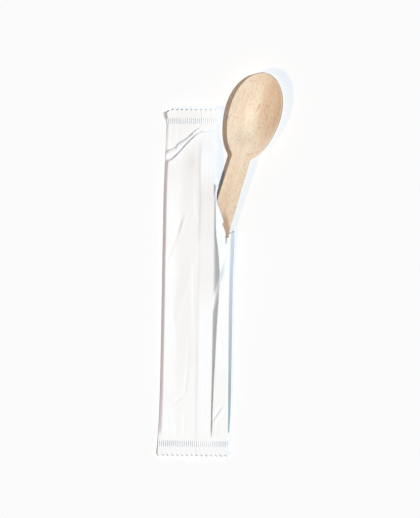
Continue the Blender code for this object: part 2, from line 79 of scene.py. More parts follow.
# The groove right of the fin: its width, how far the ridge beyond it rises, and how soft the ridge's fall is.
GROOVE_WIDTH = (
    (-97.0, 0.7), (-80.0, 1.1), (-61.0, 1.6), (-30.0, 2.8), (1.0, 4.2), (14.0, 3.7), (23.0, 2.7), (31.0, 1.6),
    (45.0, 1.3),
)
GROOVE_CURVE = 1.35
GROOVE_BLEND = 0.5
RIDGE_RISE = (
    (-97.0, 1.3), (-80.0, 1.5), (-61.0, 1.7), (-30.0, 2.6), (1.0, 3.4), (14.0, 3.1), (23.0, 2.4), (31.0, 1.6),
    (45.0, 0.9), (60.0, 0.2),
)
RIDGE_SOFTNESS = 0.15

# How far in from a side crease the paper takes to reach its height, and how softly it then levels off.
LEFT_BULGE = ((-99.0, 2.0), (-60.0, 1.7))
RIGHT_BULGE = ((-99.0, 1.0), (-80.0, 1.9), (-40.0, 2.4))
BULGE_BLEND = 0.25

# How far in from an end seal the front and the back take to leave its height, and how far the back curls up
# beside a crease. Between front and back there is a least gap, which starts from nothing at a seal.
TOP_RISE = 20.0
BOTTOM_RISE = 7.0
BACK_RISE = 9.0
BACK_CURL = 2.2
LEAST_GAP = 2.5 * PAPER
LEAST_GAP_RISE = 2.0

# Beside the tear the paper stands up towards its torn side: how far, and the x and y where that starts and is
# complete. Towards the top seal it starts further left.
TILT = 2.4
TILT_FROM = -11.0
SEAL_TILT_FROM = -24.0
SEAL_TILT_START = 78.0
SEAL_TILT_END = 94.0
TILT_TO = 2.5
FRONT_TILT_START = 35.0
FRONT_TILT_END = 80.0
BACK_TILT_START = 52.0

# Long seam, where the left panel turns up, and its fin, which is folded to the right and stands off a little.
SEAM_X = 1.3
ROOT_RISE = 0.30
ROOT_REACH = 1.6
FIN_WIDTH = 9.1
FIN_TORN_WIDTH = 8.1
FIN_SWAY = 0.12
FIN_SWAY_LENGTH = 17.0
FIN_LIFT = ((-99.0, 0.0), (-80.0, 0.6), (-40.0, 1.2), (0.0, 1.4), (40.0, 1.1), (75.0, 0.9), (99.0, 0.1))
FIN_LEAST_GAP = 0.05
FIN_SAG = 0.1
FIN_BLEND = 0.3

# The tear. The front's torn edge is given by y and x. The other torn edge starts right of the tear's foot, runs
# up the side to the crease and then across the back: y, and how far it is past the crease.
TEAR_FOOT = 24.3
TEAR_CROSSING = 32.4
FRONT_TEAR = (
    (24.3, 18.0), (25.2, 17.8), (26.4, 17.9), (28.2, 17.6), (30.8, 17.9), (34.0, 16.9), (36.6, 15.5),
    (38.4, 16.4), (42.5, 15.0), (47.4, 13.3), (48.8, 12.2), (52.2, 11.85), (56.5, 11.9), (60.0, 12.9),
    (60.9, 12.3), (62.2, 9.0), (97.5, 8.3), (99.0, 9.8), (103.0, 11.4), (109.5, 12.3),
)
SIDE_TEAR = (
    (24.3, -5.0), (25.2, -5.2), (26.5, -5.1), (28.2, -4.9), (28.9, -3.8), (29.4, -3.6), (29.9, -4.3),
    (31.1, -3.4), (31.6, -1.9), (32.0, -0.8), (TEAR_CROSSING, 0.0), (36.4, 1.9), (38.6, 2.7), (42.0, 5.5),
    (47.7, 8.5), (58.0, 10.8), (59.5, 10.0), (61.5, 12.7), (97.5, 14.4), (99.0, 13.6), (103.0, 12.0),
    (109.5, 11.1),
)

# The torn edges' unevenness: how far it goes, its coarse and fine lengths, how much more the coarse part counts,
# and how far above the tear's foot it is complete.
FRAY = 0.16
FRAY_COARSE_LENGTH = 1.9
FRAY_FINE_LENGTH = 0.6
FRAY_COARSE_GAIN = 1.4
FRAY_START = 1.5

# The pleat under the top seal: the line of its valley and of its crest, by x and y. It runs at about 45 degrees,
# so distances across it are shorter than those along y.
PLEAT_VALLEY = (
    (-21.5, 74.2), (-18.8, 75.5), (-16.8, 76.7), (-14.5, 78.8), (-11.3, 82.2), (-7.35, 86.8), (-3.4, 90.8),
    (-1.0, 92.9), (1.8, 94.35),
)
PLEAT_CREST = (
    (-21.5, 81.0), (-18.9, 82.1), (-14.55, 84.0), (-12.6, 86.4), (-8.2, 89.3), (-2.7, 93.0), (-0.2, 95.7),
    (1.8, 99.0),
)
ACROSS_PLEAT = math.sqrt(0.5)
PLEAT_START = 66.0

# Its lip below the valley, the wall down into the valley (wider at the left), the rise from there to the crest,
# the drop behind the crest, and how far the rest takes to fade out.
PLEAT_LIP = 1.1
PLEAT_LIP_LENGTH = 2.2
PLEAT_WALL = 1.5
PLEAT_WALL_LEFT = 2.6
PLEAT_WALL_REACH = 5.0
PLEAT_DEPTH = 3.2
PLEAT_LEAST_RISE = 0.5
PLEAT_CURVE = 1.6
PLEAT_CREST_HEIGHT = 0.9
PLEAT_CREST_WALL = 1.0
PLEAT_CREST_DROP = 1.6
PLEAT_FALL = 5.0

# It is lower at the left crease, and ends past the seam and at the top seal.
PLEAT_LEFT_SHARE = 0.6
PLEAT_LEFT_REACH = 3.0
PLEAT_PAST_SEAM = 1.0
PLEAT_SEAM_REACH = 1.6
PLEAT_END_REACH = 2.5

# Creases and dents of the front: each is a line by its ends, its half-width and its height. They are lower
# towards their ends.
CREASES = (
    ((-9.6, 43.4), (-14.2, 26.2), 2.8, -0.42),
    ((-7.3, 43.0), (-11.9, 26.8), 1.7, 0.22),
    ((-14.2, 26.2), (-19.2, 12.6), 2.2, -0.38),
    ((-1.6, 60.0), (-0.6, 44.0), 1.3, -0.16),
    ((-2.2, 20.0), (-1.2, -30.0), 1.6, -0.20),
    ((-4.2, -34.0), (-5.2, -62.0), 1.4, -0.16),
    ((-5.2, -56.0), (-6.5, -72.0), 1.3, -0.26),
    ((-14.5, -14.0), (-12.0, -44.0), 1.8, -0.14),
    ((18.8, -77.7), (11.4, -88.7), 0.9, 0.50),
    ((17.5, -76.7), (10.6, -87.4), 1.1, -0.65),
    ((-20.4, -74.5), (-12.0, -76.4), 0.8, -0.4),
    ((-12.2, -77.2), (-5.8, -71.7), 0.9, 0.40),
    ((-13.0, -76.0), (-6.8, -70.6), 1.1, -0.50),
    ((15.0, -30.0), (17.4, -47.0), 1.1, -0.16),
    ((-17.5, -84.0), (-15.6, -99.0), 1.2, -0.14),
    ((-6.2, -82.0), (-6.8, -99.0), 1.2, -0.18),
    ((-11.6, -86.0), (-11.0, -99.0), 1.0, -0.12),
    ((14.6, -86.0), (14.0, -99.0), 1.0, -0.16),
    ((18.4, -80.0), (18.6, -99.0), 0.9, -0.14),
    ((-13.4, 90.0), (-12.4, 99.0), 1.0, -0.14),
    ((-17.4, 91.0), (-17.0, 99.0), 0.9, -0.12),
)
CREASE_END_SHARE = 0.3

# Soft uneven waves of the front: their size along x and y, the place in the noise, and their height.
CRUMPLE = ((13.0, 19.0, 1.7, 0.20), (5.5, 8.0, 8.2, 0.085), (1.9, 2.4, 4.1, 0.016))

# Crimped seals: their height at the tube and at the cut edges, and the waves of those.
SEAL_HEIGHT = 0.8
BOTTOM_EDGE_HEIGHT = 2.1
TOP_EDGE_HEIGHT = 2.3
SEAL_WAVE = 0.16
TOP_WAVE_GAIN = 1.6

# The top seal's left corner is bent down and cut back. The bottom seal's right corner is bent down.
CORNER_START = 1.0
CORNER_WIDTH = 2.8
CORNER_DROP = 2.6
CORNER_START_SHARE = 0.2
CORNER_BACK = 2.9
CORNER_BACK_WIDTH = 7.0
BOTTOM_CORNER_WIDTH = 1.9
BOTTOM_CORNER_DROP = 1.6
BOTTOM_CORNER_CURVE = 1.3
BOTTOM_CORNER_SHARE = 0.6

# Ribs of the seals: grooves along y in a band, by its depth from the tube's end.
RIB_PITCH = 1.29
RIB_HEIGHT = 0.66
RIB_BAND = (0.4, 4.5)
RIB_FADE = 0.5
RIB_CURVE = 1.6

# How strong they are, how much that varies, how much less it is from one x to another, and how much is added
# right of a last x.
RIB_STRENGTH = 0.9
RIB_VARIATION = 0.3
RIB_LOSS = 0.4
RIB_LOSS_FROM = -4.0
RIB_LOSS_TO = 2.0
RIB_GAIN = 0.3
RIB_GAIN_FROM = 11.0

# Low lines across the seal beyond that band, by their height as a share of the ribs'.
LINE_PITCH = 0.62
LINE_SHARE = 0.075
LINE_END = 8.4
LINE_START_FADE = 0.4
LINE_END_FADE = 0.8

# Pinked teeth. The cut-back of the teeth is only in the last rows, and the corner's starts sooner.
TOOTH_PITCH = 3.05
TOOTH_DEPTH = 1.4
TOOTH_ONSET = 6
CORNER_BACK_ONSET = 2

# Spoon. Distances along it are from the bowl's tip.
SPOON_LENGTH = 160.0
SPOON_EDGE_ROUND = 0.35
SPOON_THICKNESS = 1.7
BOWL_WIDTH = 32.4
BOWL_FRONT = 25.0
BOWL_REAR = 31.5
BOWL_DEPTH = 5.6
NECK_WIDTH = 12.2
NECK_FILLET = 1.6
HANDLE_END_WIDTH = 15.0
HANDLE_END_CORNER = 5.0
SPOON_ANGLE = math.radians(16.3)
SPOON_PITCH = math.radians(2.1845)
SPOON_TURN = (SPOON_PITCH, 0.0, -SPOON_ANGLE)
HANDLE_END = (-2.728, -21.963, 1.299)

# The front paper over the handle: its gap, the room beside and behind the handle, and its slope beyond that.
SEAT_GAP = 0.3
HANDLE_ROOM_SIDE = 1.6
HANDLE_ROOM_END = 3.0
DRAPE_SLOPE = ((-30.0, 0.19), (30.0, 0.17), (48.0, 0.35), (62.0, 0.60), (99.0, 0.80))
RIGHT_DRAPE_SLOPE = 0.45
DRAPE_BLEND = 0.8

# Fineness of the meshes.
ROW_STEP = 1.1
TEAR_ROW_STEP = 0.7
PLEAT_ROW_STEP = 0.4
PLEAT_ROWS_FROM = 70.0
SEAL_ROW_STEP = 0.4
SEAL_COLUMN_STEP = 0.16
LEFT_COLUMNS = 58
LEFT_COLUMN_CURVE = 1.35
FIN_COLUMNS = 14
FIN_STEP_COLUMNS = 2
PANEL_COLUMNS = 22
SIDE_COLUMNS = 16
CREASE_COLUMN = 11
BACK_COLUMNS = 30
CURL_COLUMNS = 5
SPOON_COLUMNS = 40
BOWL_ROWS = 30
REAR_ROWS = 24
NECK_ROWS = 14
SHAFT_ROWS = 50
CORNER_ROWS = 10
LEAST_HALF_WIDTH = 0.3
SPOON_NORMAL_STEP = 0.05
SHARP_ANGLE = math.radians(50)

# Looks: the three kinds of face that the wrapper has, and the two that the spoon has.
PLAIN, FIN, SEAL = range(3)
WOOD_FACE, WOOD_EDGE = range(2)

# The factor that changes no colour, and the gloss of paper and wood.
CLEAR = (1.0, 1.0, 1.0, 1.0)
SPECULAR = 0.3

# Paper. Its mottling is a little darker than its colour. Fine lines cross the fin in both directions.
WHITE = (0.96, 0.96, 0.955, 1.0)
# Painted light: the fin's paper is a touch lighter than the rest of the same paper.
FIN_WHITE_PAINTED_LIGHTER = (0.965, 0.965, 0.97, 1.0)
MOTTLE_SHADE = (0.975, 0.975, 0.97)
MOTTLE_SCALE = (60.0, 60.0, 60.0)
PAPER_ROUGHNESS = 0.62
FIBRE_SCALE = (1500.0, 1100.0, 1500.0)
FIBRE_STRENGTH = 0.35
FIBRE_HEIGHT = 0.00006
FIN_LINES = (("Y", 0.55), ("X", 0.35))
FIN_LINE_SCALE = 105.0
FIN_LINE_UNEVENNESS = 0.6
FIN_LINE_HEIGHT = 0.00010

# Painted shade on the paper: its colour is darkened where it turns down to the left and to the right, in place
# of the shade there. A shade starts and is full at these parts of the surface's own direction along x. The left
# one changes along x, and the right one along y, in metres.
PAINTED_LEFT_SHADE = (0.78, 0.76, 0.83, 1.0)
PAINTED_GROOVE_SHADE = (0.68, 0.72, 0.76, 1.0)
# Painted shade on the left-facing walls of the seals' ribs.
PAINTED_RIB_SHADE = (0.62, 0.64, 0.68, 1.0)
# Painted shade where the paper turns down to the right: darker and bluer at the bottom than at the top.
PAINTED_RIGHT_SHADE_LOW = (0.43, 0.48, 0.51, 1.0)
PAINTED_RIGHT_SHADE_HIGH = (0.70, 0.76, 0.82, 1.0)
PAINTED_SHADE_LEFT_TURN = (-0.25, -0.6)
PAINTED_SHADE_RIGHT_TURN = (0.56, 0.70)
PAINTED_LEFT_SHADE_CHANGE = (-0.018, -0.002)
PAINTED_RIGHT_SHADE_CHANGE = (-0.070, 0.031)

# Wood: the colours of its faces and of its cut edge, and what lies over them. Scales are across, along and
# through the spoon.
WOOD_DARK = (0.89, 0.70, 0.53, 1.0)
WOOD_LIGHT = (0.97, 0.83, 0.64, 1.0)
EDGE_DARK = (0.46, 0.33, 0.22, 1.0)
EDGE_LIGHT = (0.62, 0.47, 0.33, 1.0)
WOOD_ROUGHNESS = 0.55
GRAIN_SCALE = (110.0, 14.0, 110.0)
STREAK_SCALE = (800.0, 40.0, 800.0)
STREAK_SHADES = ((0.35, (0.93, 0.91, 0.88, 1.0)), (0.6, CLEAR))
STREAK_AMOUNT = 1.0
DASH_SCALE = (2400.0, 330.0, 2400.0)
DASH_SHADES = ((0.54, CLEAR), (0.70, (0.78, 0.66, 0.53, 1.0)))
DASH_AMOUNT = 0.85
DASH_STRENGTH = 0.25
DASH_HEIGHT = 0.00005
SPECK_SCALE = (1500.0, 480.0, 1500.0)
SPECK_SHADES = ((0.56, CLEAR), (0.66, (0.84, 0.76, 0.68, 1.0)))
SPECK_AMOUNT = 0.7
PORE_SCALE = (1800.0, 80.0, 1800.0)
PORE_STRENGTH = 0.35
PORE_HEIGHT = 0.00008

# Marks in the wood and painted shade, in the spoon's frame: middle, radii, turn and shade. They are a dark line
# along the grain, a greyer spot, painted shade that darkens the bowl's right side, a broad darkening over the
# handle, a painted shadow of the torn paper on the handle, and a line across the grain.
WOOD_MARKS_AND_PAINTED_SHADE = (
    ((1.3, 138.4, 0.0), (0.32, 3.2, 20.0), -0.1, (0.62, 0.50, 0.40, 1.0)),
    ((-1.7, 117.5, 0.0), (8.0, 6.0, 20.0), 0.0, (0.93, 0.93, 0.94, 1.0)),
    # Painted shade: the bowl's right side darker.
    ((10.5, 143.0, 0.0), (12.0, 26.0, 20.0), 0.0, (0.86, 0.79, 0.74, 1.0)),
    ((4.0, 30.0, 0.0), (60.0, 90.0, 20.0), 0.0, (0.86, 0.82, 0.80, 1.0)),
    # Painted shadow of the torn paper on the handle.
    ((4.8, 59.5, 0.0), (2.4, 14.0, 20.0), 0.45, (0.64, 0.58, 0.53, 1.0)),
    ((4.5, 108.6, 0.0), (4.5, 0.5, 20.0), 0.6, (0.90, 0.84, 0.78, 1.0)),
)

# Stage: table, lamps, world and camera. The camera looks straight down, and the view's height is 518 pixels of
# 0.63 mm. The table is in metres.
TABLE_REACH = 1.5
TABLE_HEIGHT = -0.0001
TABLE_COLOUR = (0.96, 0.96, 0.96, 1.0)
TABLE_ROUGHNESS = 0.9
TABLE_SPECULAR = 0.1
KEY_LIGHT = (0.75, 0.795, 0.815)
KEY_ELEVATION = math.radians(67.5)
KEY_AZIMUTH = math.radians(4)
KEY_SOFTNESS = math.radians(3.5)
WARM_LIGHT = (0.175, 0.105, 0.04)
WARM_ELEVATION = math.radians(41)
WARM_AZIMUTH = math.radians(208)
WARM_SOFTNESS = math.radians(6)
SKY_LIGHT = (0.075, 0.10, 0.145)
CAMERA_CENTRE = (8.3, 14.9)
CAMERA_HEIGHT = 1.0
CAMERA_ROLL = 0.0157
CAMERA_NEAR = 0.01
VIEW_HEIGHT = 0.63 * 518
SENSOR_HEIGHT = 36.0


def clamp(value, low=0.0, high=1.0):
    return max(low, min(high, value))


def ease(value):
    """0 below 0 and 1 above 1, with a smooth rise between."""
    share = clamp(value)
    return share * share * (3 - 2 * share)


def mix(first, second, share):
    return first + (second - first) * share


def smooth_max(first, second, blend):
    """The larger of two values, rounded where they are nearly the same."""
    overlap = max(blend - abs(first - second), 0.0)
    return max(first, second) + overlap * overlap / (4 * blend)


def along(points, value):
    """The second number of a list of pairs, read off in straight lines at the first number."""
    for (low, first), (high, second) in zip(points, points[1:]):
        if value <= high:
            return mix(first, second, clamp((value - low) / (high - low)))
    return points[-1][1]


def along_curve(points, value):
    """As along, but on a smooth curve through the points."""
    if value <= points[0][0]:
        return points[0][1]
    if value >= points[-1][0]:
        return points[-1][1]
    k = max(i for i in range(len(points) - 1) if points[i][0] <= value)
    (x0, y0), (x1, y1) = points[k], points[k + 1]
    before = points[max(k - 1, 0)]
    after = points[min(k + 2, len(points) - 1)]
    start = (y1 - before[1]) / (x1 - before[0]) * (x1 - x0)
    stop = (after[1] - y0) / (after[0] - x0) * (x1 - x0)
    t = (value - x0) / (x1 - x0)
    return (
        (2 * t**3 - 3 * t**2 + 1) * y0
        + (t**3 - 2 * t**2 + t) * start
        + (3 * t**2 - 2 * t**3) * y1
        + (t**3 - t**2) * stop
    )


def shared_out(start, stop, count):
    """count steps of the same size from start to stop, with both ends."""
    return [mix(start, stop, k / count) for k in range(count)] + [stop]


def bump(distance, width):
    """1 at the middle, falling smoothly to 0 at a distance of width."""
    return ease(1 - abs(distance) / width)


# Sides and tear.


def left_side(y):
    side = along_curve(LEFT_SIDE, y)
    return mix(side, TOP_CORNER, clamp((y - TUBE_END) / SEAL_DEPTH))


def right_side(y):
    return along_curve(RIGHT_SIDE, y)


def fin_edge(y):
    torn = ease((y - TEAR_FOOT) / (TUBE_END - TEAR_FOOT))
    sway = FIN_SWAY * noise.noise((3.1, y / FIN_SWAY_LENGTH, 0.4))
    return SEAM_X + mix(FIN_WIDTH, FIN_TORN_WIDTH, torn) + sway


def torn_edge(points, y, place):
    """A torn edge by the points of its line, with the unevenness found at a place in the noise."""
    coarse = noise.noise((place, y / FRAY_COARSE_LENGTH, 0.0))
    fine = noise.noise((place, y / FRAY_FINE_LENGTH, 5.0))
    fray = FRAY * (FRAY_COARSE_GAIN * coarse + fine)
    return along(points, y) + ease((y - TEAR_FOOT) / FRAY_START) * fray


def front_tear(y):
    return torn_edge(FRONT_TEAR, y, 11.0)


def side_tear(y):
    return torn_edge(SIDE_TEAR, y, 23.0)


# Heights.


def handle_lift(x, y):
    """The height that the front paper needs to clear the handle, falling away beside it."""
    dx = x - HANDLE_END[0]
    dy = y - HANDLE_END[1]
    forward = dx * math.sin(SPOON_ANGLE) + dy * math.cos(SPOON_ANGLE)
    across = dx * math.cos(SPOON_ANGLE) - dy * math.sin(SPOON_ANGLE)
    half = HANDLE_END_WIDTH / 2
    beside = max(abs(across) - half - HANDLE_ROOM_SIDE, 0.0)
    behind = max(-forward - HANDLE_ROOM_END, 0.0)
    top = HANDLE_END[2] + max(forward, 0.0) * math.tan(SPOON_PITCH) + SPOON_THICKNESS / 2
    slope = along(DRAPE_SLOPE, y) if across < 0 else RIGHT_DRAPE_SLOPE
    return top + SEAT_GAP + PAPER - slope * math.hypot(beside, behind)


def left_panel(x, y):
    """From the left crease down to a valley, up to the seam, and a little more at the fin's root."""
    share = clamp((x - left_side(y)) / (SEAM_X - left_side(y)))
    low = mix(along_curve(LEFT_HEIGHT, y), along_curve(VALLEY_HEIGHT, y), ease(share / VALLEY_SHARE))
    up = ease((share - SEAM_RISE_SHARE) / (1 - SEAM_RISE_SHARE))
    turn_up = ROOT_RISE * clamp(1 - (SEAM_X - x) / ROOT_REACH) ** 2
    return mix(low, along_curve(SEAM_HEIGHT, y), up) + turn_up


def right_panel(x, y, over_handle):
    """Right of the seam: down under the fin, a groove at its edge, a ridge and a fall to the right side."""
    edge, right = fin_edge(y), right_side(y) - along_curve(RIGHT_BULGE, y)
    dip = along_curve(DIP_HEIGHT, y)
    if x < edge:
        return mix(along_curve(SEAM_HEIGHT, y) + ROOT_RISE, dip, ease((x - SEAM_X) / (edge - SEAM_X)))
    floor = smooth_max(dip, over_handle, GROOVE_BLEND)
    width, rise = along_curve(GROOVE_WIDTH, y), along_curve(RIDGE_RISE, y)
    share = (x - edge) / width
    if share < 1:
        return floor + rise * clamp(share) ** GROOVE_CURVE
    fall = clamp((x - edge - width) / (right - edge - width))
    return mix(floor + rise, along_curve(RIGHT_HEIGHT, y), mix(fall, ease(fall), RIDGE_SOFTNESS))


def pleat(x, y):
    """The fold that crosses the left panel: a lip, a steep wall, a valley, a crest and a long soft fall."""
    if x > SEAM_X + PLEAT_PAST_SEAM or y < PLEAT_START:
        return 0.0
    valley = along_curve(PLEAT_VALLEY, x)
    crest = along_curve(PLEAT_CREST, x)
    past = (y - valley) * ACROSS_PLEAT
    wall = mix(PLEAT_WALL_LEFT, PLEAT_WALL, ease((x - left_side(y)) / PLEAT_WALL_REACH))
    top = max((crest - valley) * ACROSS_PLEAT, wall + PLEAT_LEAST_RISE)
    if past < 0:
        height = PLEAT_LIP * math.exp(past / PLEAT_LIP_LENGTH)
    elif past < wall:
        height = PLEAT_LIP - PLEAT_DEPTH * (1 - (1 - past / wall) ** PLEAT_CURVE)
    elif past < top:
        share = (past - wall) / (top - wall)
        height = mix(PLEAT_LIP - PLEAT_DEPTH, PLEAT_CREST_HEIGHT, share**PLEAT_CURVE)
    else:
        height = PLEAT_CREST_HEIGHT - PLEAT_CREST_DROP * ease((past - top) / PLEAT_CREST_WALL)
        height *= math.exp(-(((past - top) / PLEAT_FALL) ** 2))
    left_fade = mix(PLEAT_LEFT_SHARE, 1.0, ease((x - left_side(y)) / PLEAT_LEFT_REACH))
    seam_fade = ease((SEAM_X + PLEAT_PAST_SEAM - x) / PLEAT_SEAM_REACH)
    return height * left_fade * seam_fade * ease((TUBE_END - y) / PLEAT_END_REACH)


def crease_depth(x, y):
    """What the creases and dents add to the front's height."""
    depth = 0.0
    for (x0, y0), (x1, y1), width, height in CREASES:
        dx, dy = x1 - x0, y1 - y0
        share = clamp(((x - x0) * dx + (y - y0) * dy) / (dx * dx + dy * dy))
        distance = math.hypot(x - x0 - share * dx, y - y0 - share * dy)
        if distance < width:
            depth += height * bump(distance, width) * mix(CREASE_END_SHARE, 1.0, 4 * share * (1 - share))
    return depth


def crumple(x, y):
    """Soft uneven waves of the paper, the same on every run."""
    return sum(height * noise.noise((x / wide, y / long, place)) for wide, long, place, height in CRUMPLE)


def side_rise(distance, bulge, y):
    """The share of its height that the paper has reached at a distance from a side crease: a flat slope."""
    return clamp(1 - smooth_max(1 - distance / along_curve(bulge, y), 0.0, BULGE_BLEND))


def tilt(x, y, start, end):
    """How far the paper beside the tear stands up at its torn side. It grows along y, from start to end."""
    towards_seal = ease((y - SEAL_TILT_START) / (SEAL_TILT_END - SEAL_TILT_START))
    first = mix(TILT_FROM, SEAL_TILT_FROM, towards_seal)
    across = ease((x - first) / (TILT_TO - first))
    return TILT * across * ease((y - start) / (end - start))


def front_height(x, y):
    """The outside of the front paper, without the fin."""
    over_handle = handle_lift(x, y)
    base = left_panel(x, y) if x < SEAM_X else right_panel(x, y, over_handle)
    target = smooth_max(base + tilt(x, y, FRONT_TILT_START, FRONT_TILT_END), over_handle, DRAPE_BLEND)
    rise = side_rise(x - left_side(y), LEFT_BULGE, y) * side_rise(right_side(y) - x, RIGHT_BULGE, y)
    body = FOLD_HEIGHT + (target + crumple(x, y) - FOLD_HEIGHT) * rise
    from_end = TUBE_END - abs(y)
    freed = ease(from_end / (TOP_RISE if y > 0 else BOTTOM_RISE))
    flat = mix(seal_middle(x, y) + PAPER, max(body, FOLD_HEIGHT), freed)
    worked = flat + (pleat(x, y) + crease_depth(x, y)) * rise
    return max(worked, back_height(x, y) + LEAST_GAP * ease(from_end / LEAST_GAP_RISE))


def back_height(x, y):
    """The outside of the back paper, flat on the table and curling up into the side creases."""
    curl = clamp(1 - (x - left_side(y)) / BACK_CURL)
    curl = max(curl, clamp(1 - (right_side(y) - x) / BACK_CURL))
    body = (FOLD_HEIGHT - PAPER) * (1 - math.sqrt(1 - curl * curl)) + tilt(x, y, BACK_TILT_START, TUBE_END)
    return mix(seal_middle(x, y) - PAPER, body, ease((TUBE_END - abs(y)) / BACK_RISE))


def fold_height(x, y):
    """The paper's outside at a side crease."""
    body = FOLD_HEIGHT - PAPER / 2
    return mix(seal_middle(x, y), body, ease((TUBE_END - abs(y)) / BACK_RISE))


def corner_bend(x, y):
    """How far the top seal's left corner is bent down: 0 where it is flat, and 1 at its tip."""
    share = clamp((y - TUBE_END) / SEAL_DEPTH)
    width = mix(CORNER_START, CORNER_WIDTH, share)
    return clamp(1 - (x - left_side(y)) / width) * mix(CORNER_START_SHARE, 1.0, share)


def seal_middle(x, y):
    """The height between the two papers of a seal, and of the tube's end where it meets the seal."""
    share = clamp((abs(y) - TUBE_END) / SEAL_DEPTH)
    wave = SEAL_WAVE * noise.noise((x / 9.0, y / 40.0, 2.2)) * share
    if y < 0:
        bend = clamp(1 - (right_side(y) - x) / BOTTOM_CORNER_WIDTH) ** BOTTOM_CORNER_CURVE
        drop = BOTTOM_CORNER_DROP * (bend * ease(share / BOTTOM_CORNER_SHARE))
        return mix(SEAL_HEIGHT, BOTTOM_EDGE_HEIGHT, share) + wave - drop
    level = mix(SEAL_HEIGHT, TOP_EDGE_HEIGHT, share) + tilt(x, y, FRONT_TILT_START, FRONT_TILT_END)
    return level + TOP_WAVE_GAIN * wave - CORNER_DROP * corner_bend(x, y)


def under_fin(x, y):
    """The fin's lower side. It stands off the panel, from nothing at its root to the most at its free edge."""
    edge = fin_edge(y)
    share = clamp((x - SEAM_X) / (edge - SEAM_X))
    straight = mix(front_height(SEAM_X, y), front_height(edge, y) + along_curve(FIN_LIFT, y), share)
    sagged = straight - FIN_SAG * share * (1 - share)
    return smooth_max(front_height(x, y) + FIN_LEAST_GAP * share, sagged, FIN_BLEND)


# Wrapper mesh: rows of points across the wrapper, joined into strips.


def strip(bm, first, second, look=PLAIN):
    """Faces between two chains of vertices. Chains of unlike length are matched by their x."""
    if len(first) == len(second):
        corners = [(a, b, d, c) for a, b, c, d in zip(first, first[1:], second, second[1:])]
    else:
        corners = []
        i = j = 0
        direction = 1 if first[-1].co.x > first[0].co.x else -1
        while i < len(first) - 1 or j < len(second) - 1:
            ahead_first = direction * first[i + 1].co.x if i < len(first) - 1 else math.inf
            ahead_second = direction * second[j + 1].co.x if j < len(second) - 1 else math.inf
            if ahead_first <= ahead_second:
                corners.append((first[i], first[i + 1], second[j]))
                i += 1
            else:
                corners.append((first[i], second[j + 1], second[j]))
                j += 1
    for face in corners:
        distinct = list(dict.fromkeys(face))
        if len(distinct) > 2:
            bm.faces.new(distinct).material_index = look


def inward(points):
    """Points moved to their right by the paper's thickness, square to the line that they follow."""
    moved = []
    for k, (x, z) in enumerate(points):
        before = points[max(k - 1, 0)]
        after = points[min(k + 1, len(points) - 1)]
        dx, dz = after[0] - before[0], after[1] - before[1]
        length = math.hypot(dx, dz)
        moved.append((x + PAPER * dz / length, z - PAPER * dx / length))
    return moved


def points_at(bm, y, points):
    return [bm.verts.new((x * MM, y * MM, z * MM)) for x, z in points]


def left_points(y):
    """From the left crease to the seam, closer together at the crease."""
    left = left_side(y)
    span = SEAM_X - left
    columns = [left + span * (k / LEFT_COLUMNS) ** LEFT_COLUMN_CURVE for k in range(LEFT_COLUMNS)] + [SEAM_X]
    return [(left, fold_height(left, y))] + [(x, front_height(x, y)) for x in columns[1:]]


def panel_points(y, torn):
    """From the seam to the torn edge, or to the place where the tear would be."""
    stop = front_tear(y) if torn else mix(FRONT_TEAR[0][1], right_side(y) + SIDE_TEAR[0][1], 0.5)
    reach = min(fin_edge(y), stop - 2 * PAPER)
    columns = shared_out(SEAM_X, reach, FIN_COLUMNS) + shared_out(reach, stop, PANEL_COLUMNS)[1:]
    return [(x, front_height(x, y)) for x in columns]


def side_points(y, torn):
    """From the tear over the right crease to the left one, along the back."""
    left, right = left_side(y), right_side(y)
    start = side_tear(y) if torn else SIDE_TEAR[0][1]
    points = []
    for k in range(SIDE_COLUMNS):
        if start >= 0:
            past = start + BACK_CURL * k / SIDE_COLUMNS
        elif k < CREASE_COLUMN:
            past = mix(start, 0.0, k / CREASE_COLUMN)
        else:
            past = BACK_CURL * (k - CREASE_COLUMN) / (SIDE_COLUMNS - CREASE_COLUMN)
        if past == 0:
            points.append((right, fold_height(right, y)))
        elif past < 0:
            points.append((right + past, front_height(right + past, y)))
        else:
            points.append((right - past, back_height(right - past, y)))
    across = shared_out(right - max(start, 0.0) - BACK_CURL, left + BACK_CURL, BACK_COLUMNS)
    curl = [left + BACK_CURL * (1 - k / CURL_COLUMNS) for k in range(1, CURL_COLUMNS)]
    return points + [(x, back_height(x, y)) for x in across + curl] + [(left, fold_height(left, y))]


def tube_row(bm, y, torn):
    """One row of the tube, as chains of vertices by name. Below the tear, the panel and the side meet."""
    left, panel, side = left_points(y), panel_points(y, torn), side_points(y, torn)
    if not torn:
        side[0] = panel[-1]
    row = {"torn": torn, "left": points_at(bm, y, left)}
    row["panel"] = points_at(bm, y, panel)
    first = points_at(bm, y, side[:1]) if torn else [row["panel"][-1]]
    row["side"] = first + points_at(bm, y, side[1:-1]) + [row["left"][0]]
    add_fin(bm, y, row)
    if abs(y) < TUBE_END:
        add_inside(bm, y, row, left + panel[1:], side)
    else:
        columns = [x for x, _ in left + panel[1:]]
        if not torn:
            columns[-1] -= 2 * PAPER
        add_closed_inside(bm, y, row, columns)
    return row


def add_fin(bm, y, row):
    """The fin's upper and lower sides, which meet the panels at its root. Past its root it is two layers."""
    columns = shared_out(SEAM_X, fin_edge(y), FIN_COLUMNS)[1:]
    second = [PAPER * ease(k / FIN_STEP_COLUMNS) for k in range(1, FIN_COLUMNS + 1)]
    top = [(x, under_fin(x, y) + PAPER + up) for x, up in zip(columns, second)]
    row["top"] = [row["left"][-1]] + points_at(bm, y, top)
    root = row["panel"][0]
    root.co.x = (SEAM_X + PAPER) * MM
    root.co.z = (front_height(SEAM_X, y) - PAPER / 3) * MM
    row["under"] = [root] + points_at(bm, y, [(x, under_fin(x, y)) for x in columns])
    row["edge"] = [row["top"][-1], row["under"][-1]]


